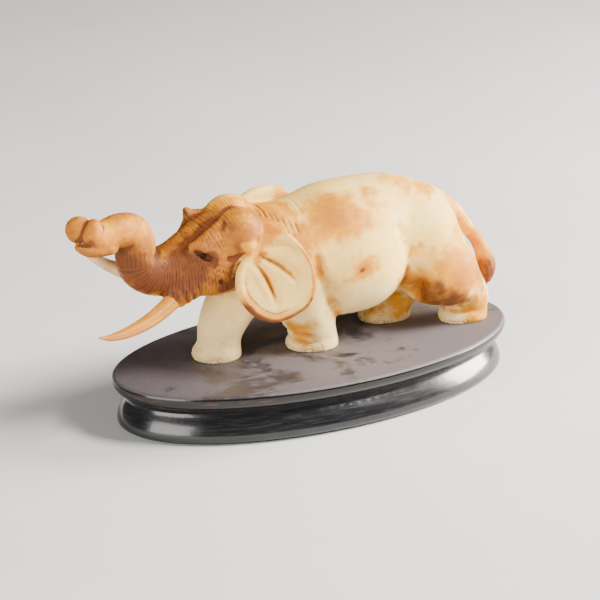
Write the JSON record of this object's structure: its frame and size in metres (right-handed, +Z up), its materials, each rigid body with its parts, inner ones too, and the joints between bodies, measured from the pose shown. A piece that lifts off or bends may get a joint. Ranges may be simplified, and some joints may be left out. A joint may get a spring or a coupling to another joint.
{
  "type": "carved elephant figurine",
  "caption": "Carved wooden elephant striding with its trunk raised and curled, with inset tusks and beaded eyes, fixed on a two-tier black oval display stand.",
  "frame": {"origin": "centre of the felt pad's underside, where the stand rests", "axes": "+Z up, the head points towards -X along the stand's long axis, the elephant's left side is towards -Y"},
  "size_m": [0.186, 0.087, 0.0871],
  "materials": {
    "elephant_wood": "polished pale wood with tan and brown stain in the carved lines",
    "left_tusk_wood": "smooth, stained tan",
    "right_tusk_wood": "smooth, pale cream",
    "eye_bead": "polished bead",
    "stand_top_lacquer": "black lacquer, dusty matt top, glossy edge",
    "stand_plinth_lacquer": "glossy black lacquer",
    "peg_wood": "bare dowel",
    "screw_steel": "zinc-plated",
    "felt": "matt felt"
  },
  "bodies": {
    "root": {"elephant": "elephant_wood", "left_tusk": "left_tusk_wood", "right_tusk": "right_tusk_wood", "left_eye": "eye_bead", "right_eye": "eye_bead", "stand_top": "stand_top_lacquer", "stand_plinth": "stand_plinth_lacquer", "foot_pegs": "peg_wood", "stand_screws": "screw_steel", "felt_base": "felt"}
  },
  "joints": []
}
